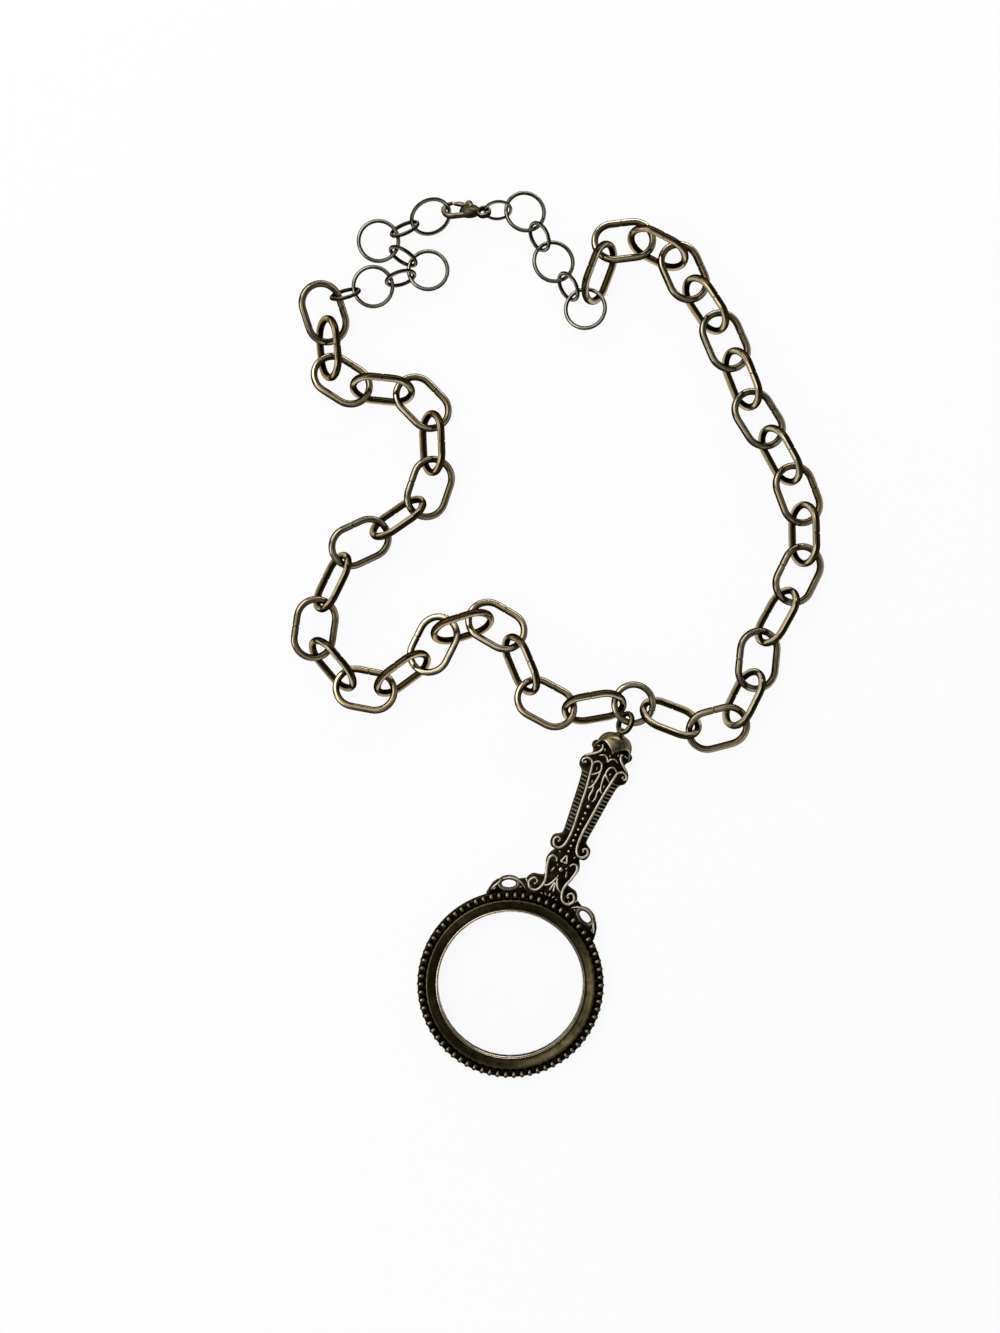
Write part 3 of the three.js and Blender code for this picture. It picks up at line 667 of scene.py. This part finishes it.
def tube(line, height, thickness, ends=(0.5, 0.5), sides=12, low=0.05, high=1.0, closed=False):
    """A rod along a flat line at some height, thinner towards its ends."""
    line = np.asarray(line, float)
    count = len(line)
    flow = np.roll(line, -1, 0) - np.roll(line, 1, 0) if closed else np.gradient(line, axis=0)
    flow = flow / np.linalg.norm(flow, axis=1)[:, None]
    side = np.stack([flow[:, 1], -flow[:, 0]], -1)
    share = np.linspace(0, 1, count)
    full = np.ones(count)
    if not closed:
        for end, gone in zip(ends, (share, 1 - share)):
            full = np.minimum(full, end + TAPER * gone * (1 - end))
    radius = thickness / 2 * full[:, None]
    angle = np.linspace(0, 2 * math.pi, sides, endpoint=False)
    points = np.empty((count, sides, 3))
    points[..., 0] = line[:, :1] + side[:, :1] * np.cos(angle) * radius
    points[..., 1] = line[:, 1:] + side[:, 1:] * np.cos(angle) * radius
    points[..., 2] = height + np.sin(angle) * radius
    wear_and_highlight = low + (high - low) * np.clip(CREST_WEAR * np.sin(angle), 0, 1) * np.ones((count, 1))
    faces = grid_faces(count, sides, round_rows=closed)
    if not closed:
        faces += [list(range(sides)), list(range((count - 1) * sides, count * sides))]
    return points, faces, wear_and_highlight


print("a curve through 3 points has", len(smooth_line([(0, 0), (1, 1), (2, 0)])), "points")

# %% Handle plate
PLATE_FOOT = 0.5
PLATE_TOP = 2.75
HANDLE_EDGE = [  # one side of the outline, from the rim up to the cap
    (3.0, 20.9), (5.2, 21.6), (6.6, 23.0), (6.55, 25.2), (5.7, 26.6), (4.2, 27.0), (3.2, 27.4), (3.1, 28.4),
    (3.6, 29.6), (4.1, 30.8), (4.15, 32.0), (3.75, 33.2), (3.3, 34.1), (4.4, 34.4), (5.0, 35.6), (4.8, 37.2),
    (3.7, 38.0), (3.1, 38.8), (3.35, 42.0), (3.75, 46.0), (4.15, 50.0), (4.75, 53.8), (5.9, 55.0), (6.2, 56.4),
    (5.8, 57.6), (4.9, 58.4), (4.2, 59.2), (4.5, 60.0), (5.1, 60.8), (5.0, 61.8), (4.0, 62.4), (1.5, 62.6),
]


def rounded_plate(edge, foot, top, bevel=0.35):
    """A flat plate with a closed outline and eased edges."""
    edge = np.asarray(edge, float)
    flow = np.roll(edge, -1, 0) - np.roll(edge, 1, 0)
    inward = np.stack([-flow[:, 1], flow[:, 0]], -1) / np.linalg.norm(flow, axis=1)[:, None]
    area = np.sum(edge[:, 0] * np.roll(edge[:, 1], -1) - np.roll(edge[:, 0], -1) * edge[:, 1])
    inward *= np.sign(area)
    rows = [  # inset, height and wear
        (bevel, foot, 0.1),
        (0, foot + bevel, 0.15),
        (0, top - bevel, 0.2),
        (bevel * 0.4, top - bevel * 0.3, 0.34),
        (bevel, top, 0.1),
    ]
    count = len(edge)
    points = np.empty((len(rows), count, 3))
    wear_and_highlight = np.empty((len(rows), count))
    for row, (inset, height, level) in enumerate(rows):
        points[row, :, :2] = edge + inward * inset
        points[row, :, 2] = height
        wear_and_highlight[row] = level
    faces = grid_faces(len(rows), count)
    faces += [list(range(count)), list(range((len(rows) - 1) * count, len(rows) * count))]
    return points, faces, wear_and_highlight


handle_line = smooth_line(HANDLE_EDGE, 4)
handle_edge = np.concatenate([handle_line, mirrored(handle_line)[::-1]])
plate_patch = rounded_plate(handle_edge, PLATE_FOOT, PLATE_TOP)
make_piece("handle_plate", [plate_patch], black_brass, "magnifier", pendant_place)
print("handle plate with", len(handle_edge), "points round its edge")

# %% [markdown]
# The scrolls' lines were measured on one side of the handle, and each is laid on both sides. A line starts
# and ends in the eye of its curl, where a small bead fills the middle.

# %% Rails, vase and curls
RELIEF = 3.05
SCROLL_WEAR = 0.9
RAIL = [
    (4.75, 56.2), (5.3, 56.0), (5.72, 56.5), (5.15, 57.25), (4.2, 57.45), (3.3, 56.85), (2.98, 55.5),
    (2.65, 53.5), (2.25, 50.9), (2.02, 48.7), (1.6, 44.0), (1.32, 41.5), (1.23, 39.6), (1.3, 37.7),
    (1.7, 35.8), (2.65, 34.8), (3.8, 35.0), (4.4, 36.1), (4.0, 37.0), (3.3, 37.05), (2.95, 36.5),
]
VASE = [
    (1.75, 31.7), (1.95, 32.25), (2.55, 32.6), (3.2, 32.5), (3.6, 31.8), (3.6, 30.8), (3.2, 29.0),
    (2.65, 27.4), (2.45, 25.8), (2.9, 24.1), (3.75, 23.2), (5.0, 23.2), (5.8, 24.2), (5.7, 25.2),
    (5.0, 25.9), (4.2, 25.6), (4.0, 24.9),
]
CAP_SCROLL = [
    (5.5, 57.8), (4.7, 58.35), (3.6, 59.2), (2.65, 60.2), (2.45, 61.2), (3.0, 62.05), (3.85, 62.1),
    (4.2, 61.5), (3.75, 61.0),
]
SCROLLS = [(RAIL, 0.68, (0.65, 0.65)), (VASE, 0.7, (0.6, 0.6)), (CAP_SCROLL, 0.66, (0.6, 0.5))]
CURL_EYES = [(4.9, 56.35, 0.5), (3.2, 36.3, 0.42), (4.35, 24.7, 0.46), (3.45, 61.3, 0.42)]

scrolls = []
eyes = []


def both_sides(line, thickness, ends=(0.5, 0.5), height=RELIEF, **looks):
    """The same scroll on both sides of the handle."""
    scrolls.append(tube(line, height, thickness, ends, **looks))
    scrolls.append(tube(mirrored(line), height, thickness, ends, **looks))


for line, thickness, ends in SCROLLS:
    both_sides(smooth_line(line), thickness, ends, high=SCROLL_WEAR)
for x, y, size in CURL_EYES:
    for side in (1, -1):
        eyes.append(bead((side * x, y, RELIEF), (size, size, size * 1.1)))
print(len(scrolls), "scrolls and", len(eyes), "eyes of curls")

# %% Ribs
RIBS = 16
RIB_START = 39.9
RIB_RUN = 14.2
RIB_SLANT = 0.05
RIB_THICK = 0.46
RIB_INSIDE = ((39.6, 41.5, 44.0, 48.7, 53.5), (1.23, 1.32, 1.6, 2.02, 2.65))  # along the rail
RIB_OUTSIDE = ((38.8, 42.0, 46.0, 50.0, 53.8), (3.1, 3.35, 3.75, 4.15, 4.75))  # along the plate's edge

for count in range(RIBS):
    along = RIB_START + count * RIB_RUN / (RIBS - 1)
    inner = np.interp(along, *RIB_INSIDE) + 0.45
    outer = np.interp(along, *RIB_OUTSIDE) - 0.12
    rib = [(inner, along - RIB_SLANT), (outer, along + RIB_SLANT)]
    both_sides(rib, RIB_THICK, (0.9, 0.8), PLATE_TOP + 0.04, high=0.7)
print(RIBS, "ribs on each side")

# %% Leaf lines
LEAF_THICK = 0.5
LEAF_LINES = [
    [(3.1, 56.9), (1.95, 57.7), (1.0, 57.2), (0.7, 55.7), (1.4, 54.8), (2.45, 54.0)],
    [(0.72, 56.0), (0.6, 54.3), (0.9, 52.3), (1.3, 51.2), (2.1, 50.8)],
    [(1.0, 52.2), (0.6, 50.7), (0.8, 49.2), (0.4, 48.1)],
    [(0.05, 58.4), (0.45, 59.2), (1.35, 59.65), (2.4, 59.1)],
    [(2.25, 25.2), (1.6, 25.4), (0.9, 26.1), (0.3, 27.4), (0.05, 28.3)],
    [(0.5, 24.6), (0.3, 25.6), (0.12, 26.8)],
    [(0.8, 32.0), (0.45, 32.9), (0.05, 33.9)],
    [(0.1, 32.1), (0.8, 32.0)],
]
for line in LEAF_LINES:
    both_sides(smooth_line(line, 4), LEAF_THICK, (0.6, 0.5), RELIEF - 0.12)
print(len(scrolls), "raised lines so far")

# %% Bead column and lobes
COLUMN = np.arange(34.95, 45.5, 1.43)
COLUMN_RADII = (0.45, 0.45, 0.55)
BIG_BEADS = [(46.7, 0.62), (30.2, 0.74)]  # place along the handle and radius
BEAD_FOOT_WEAR = 0.25
LOBES = [  # place, half width, half length and lean
    (1.75, 29.5, 0.42, 1.35, 0.3), (1.15, 30.9, 0.26, 0.6, -0.5), (0.0, 28.4, 0.34, 0.7, 0.0),
    (0.0, 23.5, 0.36, 0.75, 0.0), (1.0, 23.35, 0.3, 0.7, -0.5), (1.9, 23.1, 0.26, 0.6, -0.95),
    (1.9, 34.1, 0.28, 0.62, -0.7), (0.0, 59.9, 0.4, 0.6, 0.0), (1.75, 60.9, 0.34, 0.75, -0.2),
    (1.75, 55.9, 0.3, 0.7, -0.35), (1.55, 52.6, 0.26, 0.75, -0.3),
]
LOBE_HEIGHT = 0.55

for along in COLUMN:
    eyes.append(bead((0, along, PLATE_TOP + 0.12), COLUMN_RADII, low=BEAD_FOOT_WEAR))
for along, size in BIG_BEADS:
    eyes.append(bead((0, along, PLATE_TOP + 0.2), (size, size, size), low=BEAD_FOOT_WEAR))
for x, y, wide, long, lean in LOBES:
    for side in (1, -1) if x else (1,):
        eyes.append(bead((side * x, y, PLATE_TOP + 0.05), (wide, long, LOBE_HEIGHT), side * lean, high=0.85))
print(len(eyes), "beads and lobes")

# %% [markdown]
# Where the handle meets the rim, a low bank of leaves runs along it on each side, with one pierced leaf. The
# bank follows the rim, so its points are given as an angle from the handle and a distance from the lens. The
# pierced leaf is a closed rod, which leaves its own hole.

# %% Pierced leaves
LEAF_REACH = 24.2
LEAF_ANGLE = 24.5
LEAF_SIZE = (2.35, 1.5)
LEAF_STEPS = 28
LEAF_LOOP = (2.0, 1.2)  # height and thickness of the rod


def on_rim(angle, reach):
    """A point at an angle from the handle and a distance from the lens axis."""
    return reach * math.sin(math.radians(angle)), reach * math.cos(math.radians(angle))


loop = []
for angle in np.linspace(0, 2 * math.pi, LEAF_STEPS, endpoint=False):
    across = LEAF_SIZE[0] * math.cos(angle) / LEAF_REACH
    loop.append(on_rim(LEAF_ANGLE + math.degrees(across), LEAF_REACH + LEAF_SIZE[1] * math.sin(angle)))
for line in (loop, mirrored(loop)):
    scrolls.append(tube(line, *LEAF_LOOP, closed=True, sides=14, low=0.0, high=0.55))
print("pierced leaf of", LEAF_STEPS, "points on each side")

# %% Leaf banks
INNER_BANK = [
    (7, 22.2), (14, 22.2), (20.5, 22.2), (20.5, 25.3), (17, 25.6), (13, 26.0), (10, 26.3), (7, 26.3),
]
OUTER_BANK = [
    (28.5, 22.2), (34, 22.2), (39, 22.2), (38.4, 22.8), (36, 23.8), (33.5, 24.8), (30.5, 25.5), (28.5, 25.1),
]
BANK_PLATE = (0.6, 2.45, 0.25)  # foot, top and bevel
BANK_LINES = [
    [(27.5, 25.5), (24, 25.7), (21, 25.4), (17.5, 24.6), (14.6, 23.3)],
    [(15.3, 25.7), (14.3, 25.2), (13.2, 24.4)],
    [(29.5, 24.9), (32, 24.2), (35, 23.4)],
]
BANK_LINE_HEIGHT = 2.62
BANK_LOBES = [(9.5, 24.9, 0.9), (12.0, 24.2, 0.6), (17.5, 23.6, 0.9), (33.0, 23.4, 0.7)]
BANK_LOBE_HEIGHT = 2.48
BANK_LOBE_RADII = (0.32, 0.75, 0.5)

for line in BANK_LINES:
    both_sides(smooth_line([on_rim(*spot) for spot in line], 5), LEAF_THICK, (0.6, 0.4), BANK_LINE_HEIGHT)
for angle, reach, lean in BANK_LOBES:
    x, y = on_rim(angle, reach)
    for side in (1, -1):
        eyes.append(bead((side * x, y, BANK_LOBE_HEIGHT), BANK_LOBE_RADII, side * lean, high=0.8))
banks = []
for edge in (INNER_BANK, OUTER_BANK):
    outline = np.array([on_rim(*spot) for spot in edge])
    banks += [rounded_plate(outline, *BANK_PLATE), rounded_plate(mirrored(outline), *BANK_PLATE)]
make_piece("leaf_banks", banks, black_brass, "magnifier", pendant_place)
make_piece("handle_scrolls", scrolls, black_brass, "magnifier", pendant_place)
make_piece("handle_beads", eyes, bead_brass, "magnifier", pendant_place)
print("pendant has", len(scrolls), "raised lines and", len(eyes), "beads and lobes")

# %% [markdown]
# ## Cap and eye
# A smooth domed cap closes the handle. Its lower edge is cut into points, and an eye on a short neck stands
# out of it to hang on the stout ring. Each line of the dome's grid starts lower or higher on one smooth
# surface, which cuts the points, and the eye's plane is read from the solid, as the links' planes were.

# %% Domed cap
CAP_REACH = 62.2
CAP_RADIUS = 4.3
CAP_DEPTH = 3.1
CAP_HEIGHT = 3.3
CAP_TALL = 3.5
CAP_POINTS = 4
CAP_POINT = 0.42  # how far a point hangs down, as a share of the dome
CAP_NOTCH = 0.12  # how far the cut between two points goes up
CAP_TOP = 0.985
CAP_BULGE = 0.72
CAP_FLARE = 0.22
CAP_SKIRT = 1.1
CAP_INSIDE = 0.88


def cap_patch(rows=16, columns=96):
    """A dome along the handle whose lower edge is cut into points, closed at its foot."""
    around = np.linspace(0, 2 * math.pi, columns, endpoint=False)
    cut = np.abs(np.sin(around * CAP_POINTS / 2)) ** 0.6
    start = -CAP_POINT + (CAP_POINT + CAP_NOTCH) * cut
    points, wear_and_highlight = [], []
    for step in np.linspace(0, 1, rows):
        share = start + (CAP_TOP - start) * step
        above = np.clip(share, 0, 1) * math.pi / 2
        wide = np.cos(above) ** CAP_BULGE + CAP_FLARE * np.clip(-share, 0, 1)
        along = CAP_REACH + CAP_TALL * (np.sin(above) + CAP_SKIRT * np.clip(share, -1, 0))
        height = CAP_HEIGHT + CAP_DEPTH * wide * np.sin(around)
        points.append(np.stack([CAP_RADIUS * wide * np.cos(around), along, height], -1))
        wear_and_highlight.append(np.full(columns, 0.95 if step == 0 else 0.5 + 0.12 * step))
    inner = points[0].copy()
    inner[:, 0] *= CAP_INSIDE
    inner[:, 2] = CAP_HEIGHT + (inner[:, 2] - CAP_HEIGHT) * CAP_INSIDE
    points, wear_and_highlight = np.array([inner] + points), np.array([np.zeros(columns)] + wear_and_highlight)
    faces = grid_faces(rows + 1, columns)
    faces += [list(range(columns)), list(range(rows * columns, (rows + 1) * columns))]
    return points, faces, wear_and_highlight


make_piece("handle_cap", [cap_patch()], olive_brass, "magnifier", pendant_place)
print("cap with", CAP_POINTS, "points")

# %% Eye's place
EYE_REACH = 68.7
EYE_HOLE = 3.2
EYE_WIRE = 1.4
EYE_MARGIN = 0.6

pendant_turn = np.array(pendant_place.to_3x3())
local = (node_points("magnifier_frame") - np.array(pendant_place.translation)) @ pendant_turn / MM
eye_points = local[local[:, 1] > EYE_REACH - EYE_HOLE / 2 + EYE_MARGIN]
eye_middle = np.array([0, EYE_REACH, (eye_points[:, 2].max() + eye_points[:, 2].min()) / 2])
_, ways = np.linalg.eigh(np.cov((eye_points - eye_middle)[:, [0, 2]].T))
sideways = np.array([ways[0, 1], 0, ways[1, 1]])
facing = np.cross(sideways, (0, 1, 0))
print("eye middle in mm:", eye_middle.round(2))

# %% Eye and neck
NECK = [  # radius and place along the handle
    (0.35, 64.9), (1.6, 65.0), (1.35, 65.6), (0.85, 66.0), (1.0, 66.4), (1.25, 66.8), (0.9, 67.2), (0.35, 67.3),
]
NECK_STEPS = 20

eye_ring, eye_faces, eye_wear_and_highlight = ring_patch(EYE_HOLE + 2 * EYE_WIRE, EYE_WIRE * WIRE_TRIM)
eye_ring = eye_middle + eye_ring @ np.stack([(0, 1, 0), sideways, facing])
neck_points, neck_faces, neck_wear = turned([(radius, along, 0.5) for radius, along in NECK], NECK_STEPS)
neck_points = neck_points[..., [0, 2, 1]] + (0, 0, CAP_HEIGHT)
rise = (neck_points[..., 1] - NECK[0][1]) / (EYE_REACH - NECK[0][1])
neck_points[..., 2] += rise * (eye_middle[2] - CAP_HEIGHT)
eye_patches = [(eye_ring, eye_faces, eye_wear_and_highlight), (neck_points, neck_faces, neck_wear)]
make_piece("pendant_eye", eye_patches, olive_brass, "magnifier", pendant_place)
print("eye", EYE_HOLE + 2 * EYE_WIRE, "mm across")

# %% [markdown]
# ## Clasp
# The clasp is a small cast claw: an eye, a swollen barrel and a tapering hook, closed by a sprung lever on a
# rivet. The solids are built from flat plates, and a casting has no such corners, so beads and tapering
# tubes stand for them. The flat spring's short edges lie square to the clasp, and that gives its place.

# %% Place of the clasp
SPRING_DEPTH = 0.3
SPRING_WIDTH = 0.8
PIVOT = (-0.5, -0.598)

strip = node_points("clasp_spring")
gaps = (strip[:, None] - strip[None]).reshape(-1, 3)


def strip_edge(length):
    """The direction of the spring's edge of this length in mm."""
    way = gaps[np.argmin(np.abs(np.linalg.norm(gaps, axis=1) - length * MM))]
    return way / np.linalg.norm(way)


rivet_middle = node_points("clasp_rivet").mean(0)
across = strip_edge(SPRING_DEPTH)
across = across * np.sign((strip.mean(0) - rivet_middle) @ across)
along = np.cross(across, strip_edge(SPRING_WIDTH))
along = along * np.sign((node_points("clasp_lever").mean(0) - rivet_middle) @ along)
through = np.cross(along, across)
start = rivet_middle - (along * PIVOT[0] + across * PIVOT[1]) * MM
clasp_place = Matrix.Identity(4)
for row in range(3):
    clasp_place[row][0:4] = (along[row], across[row], through[row], start[row])
print("clasp lies along", along.round(2))

# %% Claw
CLAW_EYE = -3.8
CLAW_EYE_WIRE = (3.6, 0.8)  # diameter and wire
CLAW_EYE_DEEP = 1.7
BARREL_MIDDLE = (-0.45, 0.05, 0)
BARREL_RADII = (2.65, 2.25, 1.35)
BARREL_SWELL = (0.95, 0.06)
HOOK_ROOT = [(-1.2, 0.7), (0.4, 1.35), (1.6, 1.75)]
HOOK_X = 3.8
HOOK_REACH = 2.3
HOOK_TURN = (118, -74)
HOOK_STEPS = 26
HOOK_DEEP = 1.2
CLAW_ROD = {"thickness": 1.25, "ends": (1.0, 0.6), "low": 0.12, "high": 0.66}


def flattened(patch, share, shift=0.0):
    """A patch with its thickness scaled, moved along the clasp."""
    points, faces, wear_and_highlight = patch
    return np.asarray(points) * (1, 1, share) + (shift, 0, 0), faces, wear_and_highlight


barrel_points, barrel_faces, barrel_wear_and_highlight = bead(BARREL_MIDDLE, BARREL_RADII, 0, 17, 32, 0.18, 0.52)
barrel_points[:, 1] *= BARREL_SWELL[0] + BARREL_SWELL[1] * barrel_points[:, 0]
hook_turn = np.radians(np.linspace(*HOOK_TURN, HOOK_STEPS))
hook_arc = np.stack([HOOK_X + HOOK_REACH * np.cos(hook_turn), HOOK_REACH * np.sin(hook_turn)], -1)
hook_line = np.concatenate([smooth_line([*HOOK_ROOT, hook_arc[0]], 5)[:-1], hook_arc])
claw = make_piece("claw_body", [
    flattened(ring_patch(*CLAW_EYE_WIRE, STOUT_SQUARE), CLAW_EYE_DEEP, CLAW_EYE),
    (barrel_points, barrel_faces, barrel_wear_and_highlight),
    flattened(tube(hook_line, 0, sides=14, **CLAW_ROD), HOOK_DEEP),
], clasp_brass, "clasp", clasp_place)
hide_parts("clasp_body")
print("claw with a hook of", len(hook_line), "stations")

# %% Lever, rivet and spring
LEVER_LINE = [(-0.5, -0.8), (0.6, -1.5), (1.8, -1.95), (3.0, -2.08), (4.2, -2.0)]
THUMB_TAB = ((0.5, -2.45, 0), (0.95, 1.05, 0.7), 0.1)  # middle, radii and turn
RIVET_HEAD = (0.75, 0.75, 0.4)
RIVET_HALF = 1.26
SPRING_LINE = [(-1.6, 1.2), (-0.4, 1.15), (0.7, 0.9)]

lever = make_piece("claw_lever", [
    tube(smooth_line(LEVER_LINE), 0, sides=12, **CLAW_ROD),
    bead(*THUMB_TAB, 11, 18, 0.15, 0.62),
], clasp_brass, "clasp_lever", clasp_place)
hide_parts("clasp_lever")

rivet_heads = [bead((*PIVOT, side * RIVET_HALF), RIVET_HEAD, 0, 9, 18, 0.2, 0.8) for side in (1, -1)]
rivet = make_piece("claw_rivet", rivet_heads, clasp_brass, "clasp", clasp_place)
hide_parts("clasp_rivet")

spring_steel = antique("spring_steel", (0.10, 0.10, 0.10), (0.45, 0.45, 0.44), (0.75, 0.75, 0.74), (0.2, 0.35))
spring_patch = tube(smooth_line(SPRING_LINE, 5), 0, SPRING_DEPTH)
spring = make_piece("claw_spring", [spring_patch], spring_steel, "clasp", clasp_place)
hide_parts("clasp_spring")
print("clasp of 4 pieces in place")

# %% Ring behind the lens
back_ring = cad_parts["lens_retaining_ring"]
back_ring.data.materials.clear()
back_ring.data.materials.append(black_brass)
print("ring behind the lens in", back_ring.data.materials[0].name)
